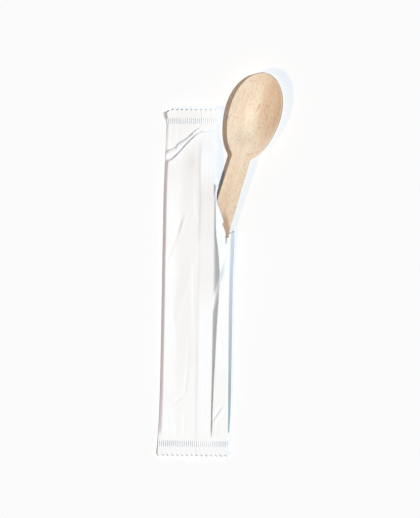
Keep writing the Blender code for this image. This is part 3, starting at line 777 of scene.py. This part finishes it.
def add_inside(bm, y, row, front, side):
    """The inside of the paper. The front and the side are joined below the tear, and apart beside it."""
    if row["torn"]:
        row["inner_front"] = points_at(bm, y, inward([side[-2]] + front)[1:])
        row["inner_side"] = points_at(bm, y, inward(side)[:-1])
    else:
        row["inner_front"] = points_at(bm, y, inward([side[-2]] + front + [side[1]])[1:-1])
        row["inner_side"] = [row["inner_front"][-1]] + points_at(bm, y, inward(side)[1:-1])
    row["inner_side"].append(row["inner_front"][0])


def add_closed_inside(bm, y, row, columns):
    """The line along which the inside ends, where a seal begins."""
    columns = [columns[0] + 2 * PAPER] + [x for x in columns[1:] if x > columns[0] + 3 * PAPER]
    row["inner_front"] = points_at(bm, y, [(x, seal_middle(x, y)) for x in columns])
    row["inner_side"] = row["inner_front"][::-1]


def join_tube_rows(bm, low, high):
    for name in ("left", "top", "edge", "under", "panel", "side", "inner_front", "inner_side"):
        strip(bm, low[name], high[name], FIN if name == "top" else PLAIN)
    if low["torn"] or high["torn"]:
        for outer, inner, end in (("panel", "inner_front", -1), ("side", "inner_side", 0)):
            strip(bm, [low[outer][end], low[inner][end]], [high[outer][end], high[inner][end]])


def seal_columns(start, stop):
    count = max(2, round((stop - start) / SEAL_COLUMN_STEP))
    return shared_out(start, stop, count)


def rib(x, depth):
    """The crimped ribs, which fade out at both ends of their band, and the low lines beyond it."""
    start, stop = RIB_BAND
    fade = ease((depth - start) / RIB_FADE) * ease((stop - depth) / RIB_FADE)
    groove = (0.5 + 0.5 * math.cos(2 * math.pi * x / RIB_PITCH)) ** RIB_CURVE
    line_fade = ease((depth - stop) / LINE_START_FADE) * ease((LINE_END - depth) / LINE_END_FADE)
    line = LINE_SHARE * math.cos(2 * math.pi * depth / LINE_PITCH) * line_fade
    loss = RIB_LOSS * ease((x - RIB_LOSS_FROM) / (RIB_LOSS_TO - RIB_LOSS_FROM))
    strength = RIB_STRENGTH + RIB_VARIATION * noise.noise((x / 7.0, depth / 3.0, 6.0)) - loss
    if x > RIB_GAIN_FROM:
        strength += RIB_GAIN
    return RIB_HEIGHT * strength * (line - fade * groove)


def pinking(x, y, depth):
    """How far the end of the seal is cut back: teeth, and the bent corner."""
    share = depth / SEAL_DEPTH
    notch = TOOTH_DEPTH * (0.5 - 0.5 * math.cos(2 * math.pi * x / TOOTH_PITCH))
    corner = CORNER_BACK * clamp(1 - (x - left_side(y)) / CORNER_BACK_WIDTH) if y > 0 else 0.0
    return notch * share**TOOTH_ONSET + corner * share**CORNER_BACK_ONSET


def seal_row(bm, end, depth, torn):
    """One row across a seal, at a depth from the tube's end. end is 1 at the top, and -1 at the bottom."""
    y = end * (TUBE_END + depth)
    right = front_tear(y) if torn else right_side(y)
    sections = (left_side(y), SEAM_X, min(fin_edge(y), right - 2 * PAPER), right)
    left, top, rest = (seal_columns(a, b) for a, b in zip(sections, sections[1:]))

    def vertex(x, layers):
        height = max(seal_middle(x, y) + rib(x, depth), 2 * PAPER) + layers * PAPER
        return bm.verts.new((x * MM, (y - end * pinking(x, y, depth)) * MM, height * MM))

    row = {"torn": torn}
    row["left"] = [vertex(left[0], 0)] + [vertex(x, 1) for x in left[1:]]
    row["top"] = [row["left"][-1]] + [vertex(x, 3) for x in top[1:]]
    row["right"] = [vertex(x, 1) for x in rest[:-1]] + [vertex(rest[-1], 1 if torn else 0)]
    row["edge"] = [row["top"][-1], row["right"][0]]
    behind = [vertex(x, -1) for x in reversed(left[1:] + top[1:-1] + rest[:-1])]
    first = vertex(rest[-1], -1) if torn else row["right"][-1]
    row["side"] = [first] + behind + [row["left"][0]]
    return row


def seal(bm, start, end):
    """A crimped seal from the last row of the tube to its pinked edge."""
    torn = start["torn"]
    start["right"] = start["panel"][FIN_COLUMNS:]
    if not torn:
        start["right"] = start["right"] + start["side"][1 : CREASE_COLUMN + 1]
        start["side"] = start["side"][CREASE_COLUMN:]
    start["edge"] = [start["top"][-1], start["right"][0]]
    depths = shared_out(0.0, SEAL_DEPTH, round(SEAL_DEPTH / SEAL_ROW_STEP))[1:]
    rows = [start] + [seal_row(bm, end, depth, torn) for depth in depths]
    for low, high in zip(rows, rows[1:]):
        for name in ("left", "top", "edge", "right", "side"):
            strip(bm, low[name], high[name], SEAL)
        if torn:
            close_torn_seal(bm, low, high)
    close_end(bm, rows[-1])


def close_torn_seal(bm, low, high):
    """The torn side of the seal, where the two layers are one."""
    if "inner_front" in low:
        front, middle, back = low["right"][-1], low["inner_front"][-1], low["side"][0]
        bm.faces.new((front, middle, high["right"][-1]))
        bm.faces.new((middle, back, high["side"][0]))
        bm.faces.new((middle, high["side"][0], high["right"][-1]))
    else:
        strip(bm, [low["right"][-1], low["side"][0]], [high["right"][-1], high["side"][0]])


def close_end(bm, row):
    """The cut edge of the paper at the end of a seal."""
    left, top, right, back = row["left"], row["top"][1:], row["right"], row["side"]
    bm.faces.new((left[-1], top[0], top[1]))
    bm.faces.new((top[-2], top[-1], right[0]))
    strip(bm, left + top[1:-1] + right, back[::-1])


def row_places():
    """The tube's rows along y, closer together beside the tear and at the pleat, and whether each is torn."""
    spans = (
        (-TUBE_END, TEAR_FOOT, ROW_STEP, False),
        (TEAR_FOOT, PLEAT_ROWS_FROM, TEAR_ROW_STEP, True),
        (PLEAT_ROWS_FROM, TUBE_END, PLEAT_ROW_STEP, True),
    )
    places = [(-TUBE_END, False)]
    for start, stop, step, torn in spans:
        places += [(y, torn) for y in shared_out(start, stop, round((stop - start) / step))[1:]]
    return places


def build_wrapper():
    bm = bmesh.new()
    rows = [tube_row(bm, y, torn) for y, torn in row_places()]
    for low, high in zip(rows, rows[1:]):
        join_tube_rows(bm, low, high)
    seal(bm, rows[0], -1)
    seal(bm, rows[-1], 1)
    return finish_piece(bm, "wrapper_sheet")


def finish_piece(bm, name):
    """A piece from a bmesh, shaded smooth away from its sharp edges."""
    bmesh.ops.recalc_face_normals(bm, faces=bm.faces)
    piece = add_object(bm, name)
    piece.data.shade_smooth()
    piece.data.set_sharp_from_angle(angle=SHARP_ANGLE)
    return piece


def add_object(bm, name):
    mesh = bpy.data.meshes.new(name)
    bm.to_mesh(mesh)
    bm.free()
    added = bpy.data.objects.new(name, mesh)
    bpy.context.scene.collection.objects.link(added)
    return added


# Spoon mesh: its middle surface, thickened.


def neck_distance():
    return BOWL_FRONT + BOWL_REAR * math.sqrt(1 - (NECK_WIDTH / BOWL_WIDTH) ** 2)


def bowl_half_width(distance):
    reach = BOWL_FRONT if distance < BOWL_FRONT else BOWL_REAR
    share = clamp(abs(distance - BOWL_FRONT) / reach)
    return BOWL_WIDTH / 2 * math.sqrt(1 - share * share)


def handle_half_width(distance):
    share = clamp((distance - neck_distance()) / (SPOON_LENGTH - neck_distance()))
    half = mix(NECK_WIDTH, HANDLE_END_WIDTH, share) / 2
    past = max(distance - (SPOON_LENGTH - HANDLE_END_CORNER), 0.0)
    return half - HANDLE_END_CORNER + math.sqrt(max(HANDLE_END_CORNER**2 - past**2, 0.0))


def spoon_half_width(distance):
    if distance < BOWL_FRONT:
        return bowl_half_width(distance)
    return smooth_max(bowl_half_width(distance), handle_half_width(distance), NECK_FILLET)


def bowl_sink(distance):
    """How far the middle of the spoon lies below its rim."""
    if distance < BOWL_FRONT:
        return BOWL_DEPTH * (1 - ((BOWL_FRONT - distance) / BOWL_FRONT) ** 2)
    share = clamp((distance - BOWL_FRONT) / (neck_distance() - BOWL_FRONT))
    return BOWL_DEPTH * (1 + math.cos(math.pi * share)) / 2


def spoon_distances():
    """Where the spoon's rows lie, closer together at both ends and at the neck's fillets."""
    rear_end, neck_end = neck_distance() - 3 * NECK_FILLET, neck_distance() + 3 * NECK_FILLET
    shaft_end = SPOON_LENGTH - HANDLE_END_CORNER
    turns = [math.pi / 2 * k / CORNER_ROWS for k in range(1, CORNER_ROWS + 1)]
    tip = [BOWL_FRONT * (1 - math.cos(math.pi / 2 * k / BOWL_ROWS)) for k in range(BOWL_ROWS)]
    rear = shared_out(BOWL_FRONT, rear_end, REAR_ROWS)
    neck = shared_out(neck_distance() - 2.5 * NECK_FILLET, neck_end, NECK_ROWS)
    shaft = shared_out(neck_end, shaft_end, SHAFT_ROWS)[1:]
    corner = [shaft_end + HANDLE_END_CORNER * math.sin(turn) for turn in turns]
    return tip + rear + neck + shaft + corner


def spoon_middle(distance, share):
    """A point of the middle surface. share runs across it, from -1 to 1."""
    half = max(spoon_half_width(distance), LEAST_HALF_WIDTH)
    return Vector((share * half, SPOON_LENGTH - distance, -bowl_sink(distance) * (1 - share * share)))


def spoon_normal(distance, share):
    step = SPOON_NORMAL_STEP
    inner = clamp(distance, step, SPOON_LENGTH - step)
    share = clamp(share, -1 + step, 1 - step)
    lengthwise = spoon_middle(inner + step, share) - spoon_middle(inner - step, share)
    crosswise = spoon_middle(inner, share + step) - spoon_middle(inner, share - step)
    return crosswise.cross(-lengthwise).normalized()


def spoon_half_thickness(distance, share):
    """Half the veneer's thickness, less at its eased edges."""
    half = max(spoon_half_width(distance), LEAST_HALF_WIDTH)
    inset = min((1 - abs(share)) * half, distance, SPOON_LENGTH - distance)
    drop = SPOON_EDGE_ROUND - min(inset, SPOON_EDGE_ROUND)
    return SPOON_THICKNESS / 2 - SPOON_EDGE_ROUND + math.sqrt(SPOON_EDGE_ROUND**2 - drop**2)


def spoon_row(bm, distance, side):
    """A row across the spoon's upper side, where side is 1, or its underside, where side is -1."""
    row = []
    for k in range(SPOON_COLUMNS + 1):
        share = math.sin(math.pi / 2 * (2 * k / SPOON_COLUMNS - 1))
        offset = spoon_normal(distance, share) * spoon_half_thickness(distance, share) * side
        row.append(bm.verts.new((spoon_middle(distance, share) + offset) * MM))
    return row


def build_spoon():
    bm = bmesh.new()
    rows = [(spoon_row(bm, distance, 1), spoon_row(bm, distance, -1)) for distance in spoon_distances()]
    for (top_low, under_low), (top_high, under_high) in zip(rows, rows[1:]):
        strip(bm, top_low, top_high, WOOD_FACE)
        strip(bm, under_low, under_high, WOOD_FACE)
        for end in (0, -1):
            strip(bm, [top_low[end], under_low[end]], [top_high[end], under_high[end]], WOOD_EDGE)
    for top, under in (rows[0], rows[-1]):
        strip(bm, top, under, WOOD_EDGE)
    turn = Euler(SPOON_TURN).to_matrix().to_4x4()
    bm.transform(Matrix.Translation(Vector(HANDLE_END) * MM) @ turn)
    return finish_piece(bm, "spoon_veneer")


# Materials.


class Nodes:
    """A material with a Principled shader, and short ways to add and join nodes."""

    def __init__(self, name, colour, roughness, specular):
        self.material = bpy.data.materials.new(name)
        self.material.use_nodes = True
        self.tree = self.material.node_tree
        self.shader = self.tree.nodes["Principled BSDF"]
        self.shader.inputs["Base Color"].default_value = colour
        self.shader.inputs["Roughness"].default_value = roughness
        self.shader.inputs["Specular IOR Level"].default_value = specular
        coordinates = self.add("ShaderNodeTexCoord")
        self.place = coordinates.outputs["Object"]
        self.normal = coordinates.outputs["Normal"]

    def add(self, kind, **settings):
        node = self.tree.nodes.new(kind)
        for key, value in settings.items():
            setattr(node, key, value)
        return node

    def join(self, output, socket):
        self.tree.links.new(output, socket)

    def finish(self, colour, normal):
        """Ends the material with its colour and its bumps, and gives it back."""
        self.join(colour, self.shader.inputs["Base Color"])
        self.join(normal, self.shader.inputs["Normal"])
        return self.material

    def follow(self, location, turn):
        """Measures places from here on in the frame of a piece that lies there, turned so."""
        node = self.add("ShaderNodeMapping", vector_type="TEXTURE")
        node.inputs["Location"].default_value = location
        node.inputs["Rotation"].default_value = turn
        self.join(self.place, node.inputs["Vector"])
        self.place = node.outputs["Vector"]

    def spot(self, middle, radii, turn):
        """1 in the middle of an oval spot, falling to 0 at its edge. In millimetres."""
        node = self.add("ShaderNodeMapping", vector_type="TEXTURE")
        node.inputs["Location"].default_value = [part * MM for part in middle]
        node.inputs["Rotation"].default_value = (0.0, 0.0, turn)
        node.inputs["Scale"].default_value = [radius * MM for radius in radii]
        self.join(self.place, node.inputs["Vector"])
        sphere = self.add("ShaderNodeTexGradient", gradient_type="SPHERICAL")
        self.join(node.outputs["Vector"], sphere.inputs["Vector"])
        return sphere.outputs["Fac"]

    def part_of(self, vector, axis, start, full):
        """How far a vector's part along an axis has gone from start to full, from 0 to 1."""
        parts = self.add("ShaderNodeSeparateXYZ")
        self.join(vector, parts.inputs["Vector"])
        node = self.add("ShaderNodeMapRange")
        node.inputs["From Min"].default_value = start
        node.inputs["From Max"].default_value = full
        self.join(parts.outputs[axis], node.inputs["Value"])
        return node.outputs["Result"]

    def noise(self, scale, detail, roughness=0.5):
        mapping = self.add("ShaderNodeMapping")
        mapping.inputs["Scale"].default_value = scale
        self.join(self.place, mapping.inputs["Vector"])
        node = self.add("ShaderNodeTexNoise")
        self.join(mapping.outputs["Vector"], node.inputs["Vector"])
        node.inputs["Scale"].default_value = 1.0
        node.inputs["Detail"].default_value = detail
        node.inputs["Roughness"].default_value = roughness
        return node.outputs["Fac"]

    def lines(self, direction):
        """Slightly uneven fine lines, as far apart along x or y as the fin's are."""
        node = self.add("ShaderNodeTexWave", wave_type="BANDS", bands_direction=direction)
        self.join(self.place, node.inputs["Vector"])
        node.inputs["Scale"].default_value = FIN_LINE_SCALE
        node.inputs["Distortion"].default_value = FIN_LINE_UNEVENNESS
        node.inputs["Detail"].default_value = 2.0
        return node.outputs["Fac"]

    def ramp(self, value, stops):
        """A colour by a value, from the first stop to the last, each a position and a colour."""
        node = self.add("ShaderNodeValToRGB")
        self.join(value, node.inputs["Fac"])
        for element, (position, colour) in zip(node.color_ramp.elements, stops):
            element.position, element.color = position, colour
        return node.outputs["Color"]

    def multiply(self, amount, first, second):
        """The first colour times the second. The numbers are the mix node's sockets for colours."""
        node = self.add("ShaderNodeMix", data_type="RGBA", blend_type="MULTIPLY")
        for value, socket in ((amount, node.inputs[0]), (first, node.inputs[6]), (second, node.inputs[7])):
            if isinstance(value, (float, tuple)):
                socket.default_value = value
            else:
                self.join(value, socket)
        return node.outputs[2]

    def bump(self, height, strength, distance, after=None):
        node = self.add("ShaderNodeBump")
        node.inputs["Strength"].default_value = strength
        node.inputs["Distance"].default_value = distance
        self.join(height, node.inputs["Height"])
        if after is not None:
            self.join(after, node.inputs["Normal"])
        return node.outputs["Normal"]


def paper_material(name, colour, seal=False, fin_lines=False):
    """White paper, with painted shade where it turns down to a side, or on a seal only where its ribs do."""
    nodes = Nodes(name, colour, PAPER_ROUGHNESS, SPECULAR)
    darker = (*(part * share for part, share in zip(colour, MOTTLE_SHADE)), 1.0)
    shade = nodes.ramp(nodes.noise(MOTTLE_SCALE, detail=4.0), ((0.3, darker), (0.7, colour)))
    # Painted shade: faces turned to the left are darkened, on a seal by the ribs' painted shade, and elsewhere
    # by the left side's painted shade, which becomes the groove's towards the right.
    painted_left_shade_mask = nodes.part_of(nodes.normal, "X", *PAINTED_SHADE_LEFT_TURN)
    if seal:
        shade = nodes.multiply(painted_left_shade_mask, shade, PAINTED_RIB_SHADE)
    else:
        left_place = nodes.part_of(nodes.place, "X", *PAINTED_LEFT_SHADE_CHANGE)
        left = nodes.ramp(left_place, ((0.0, PAINTED_LEFT_SHADE), (1.0, PAINTED_GROOVE_SHADE)))
        shade = nodes.multiply(painted_left_shade_mask, shade, left)
        # Painted shade: faces turned down to the right are darkened, more towards the bottom.
        right_place = nodes.part_of(nodes.place, "Y", *PAINTED_RIGHT_SHADE_CHANGE)
        right = nodes.ramp(right_place, ((0.0, PAINTED_RIGHT_SHADE_LOW), (1.0, PAINTED_RIGHT_SHADE_HIGH)))
        shade = nodes.multiply(nodes.part_of(nodes.normal, "X", *PAINTED_SHADE_RIGHT_TURN), shade, right)
    fibres = nodes.noise(FIBRE_SCALE, detail=5.0, roughness=0.6)
    normal = nodes.bump(fibres, FIBRE_STRENGTH, FIBRE_HEIGHT)
    if fin_lines:
        for direction, strength in FIN_LINES:
            normal = nodes.bump(nodes.lines(direction), strength, FIN_LINE_HEIGHT, after=normal)
    return nodes.finish(shade, normal)


def wood_material(name, dark, light):
    """Birch veneer with its grain along the spoon: streaks, short brown dashes, specks and marks, with painted
    shade on the bowl's right side and a painted shadow of the torn paper on the handle.
    """
    nodes = Nodes(name, light, WOOD_ROUGHNESS, SPECULAR)
    nodes.follow(Vector(HANDLE_END) * MM, SPOON_TURN)
    colour = nodes.ramp(nodes.noise(GRAIN_SCALE, detail=3.0), ((0.35, dark), (0.62, light)))
    streaks = nodes.noise(STREAK_SCALE, detail=4.0, roughness=0.6)
    dashes = nodes.noise(DASH_SCALE, detail=3.0, roughness=0.6)
    specks = nodes.noise(SPECK_SCALE, detail=2.0)
    for amount, value, shades in (
        (STREAK_AMOUNT, streaks, STREAK_SHADES),
        (DASH_AMOUNT, dashes, DASH_SHADES),
        (SPECK_AMOUNT, specks, SPECK_SHADES),
    ):
        colour = nodes.multiply(amount, colour, nodes.ramp(value, shades))
    # Marks, painted shade and a painted shadow, each darkening an oval spot.
    for middle, radii, turn, shade in WOOD_MARKS_AND_PAINTED_SHADE:
        spot = nodes.ramp(nodes.spot(middle, radii, turn), ((0.0, CLEAR), (0.5, shade)))
        colour = nodes.multiply(1.0, colour, spot)
    normal = nodes.bump(nodes.noise(PORE_SCALE, detail=4.0), PORE_STRENGTH, PORE_HEIGHT)
    normal = nodes.bump(dashes, DASH_STRENGTH, DASH_HEIGHT, after=normal)
    return nodes.finish(colour, normal)


# Stage.


def build_table():
    bm = bmesh.new()
    bmesh.ops.create_grid(bm, x_segments=8, y_segments=8, size=TABLE_REACH)
    table = add_object(bm, "table")
    table.location = (0.0, 0.0, TABLE_HEIGHT)
    table.data.materials.append(Nodes("table", TABLE_COLOUR, TABLE_ROUGHNESS, TABLE_SPECULAR).material)


def sun(name, light, elevation, azimuth, softness):
    """A far lamp that gives this much light on a level surface. Azimuth 0 is from the right."""
    data = bpy.data.lights.new(name, "SUN")
    data.energy = max(light) * math.pi / math.sin(elevation)
    data.color = [part / max(light) for part in light]
    data.angle = softness
    lamp = bpy.data.objects.new(name, data)
    level = math.cos(elevation)
    towards = Vector((level * math.cos(azimuth), level * math.sin(azimuth), math.sin(elevation)))
    lamp.rotation_euler = towards.to_track_quat("Z", "Y").to_euler()
    lamp.location = towards
    bpy.context.scene.collection.objects.link(lamp)


def build_sky():
    world = bpy.data.worlds.new("studio")
    bpy.context.scene.world = world
    world.use_nodes = True
    background = world.node_tree.nodes["Background"]
    background.inputs["Color"].default_value = (*SKY_LIGHT, 1.0)
    background.inputs["Strength"].default_value = 1.0


def build_camera():
    scene = bpy.context.scene
    data = bpy.data.cameras.new("camera")
    data.sensor_fit = "VERTICAL"
    data.sensor_height = SENSOR_HEIGHT
    data.lens = SENSOR_HEIGHT * CAMERA_HEIGHT / (VIEW_HEIGHT * MM)
    data.clip_start = CAMERA_NEAR
    camera = bpy.data.objects.new("camera", data)
    camera.location = (CAMERA_CENTRE[0] * MM, CAMERA_CENTRE[1] * MM, CAMERA_HEIGHT)
    camera.rotation_euler = (0.0, 0.0, CAMERA_ROLL)
    scene.collection.objects.link(camera)
    scene.camera = camera
    scene.view_settings.view_transform = "Standard"


def main():
    sheet = build_wrapper()
    for material in (
        paper_material("wrapper_paper", WHITE),
        paper_material("fin_paper", FIN_WHITE_PAINTED_LIGHTER, fin_lines=True),
        paper_material("seal_paper", WHITE, seal=True),
    ):
        sheet.data.materials.append(material)
    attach(sheet, "root")
    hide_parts("wrapper")

    spoon = build_spoon()
    spoon.data.materials.append(wood_material("birch_face", WOOD_DARK, WOOD_LIGHT))
    spoon.data.materials.append(wood_material("birch_edge", EDGE_DARK, EDGE_LIGHT))
    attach(spoon, "root")
    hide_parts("spoon")

    build_table()
    sun("key", KEY_LIGHT, KEY_ELEVATION, KEY_AZIMUTH, KEY_SOFTNESS)
    sun("warm", WARM_LIGHT, WARM_ELEVATION, WARM_AZIMUTH, WARM_SOFTNESS)
    build_sky()
    build_camera()


main()
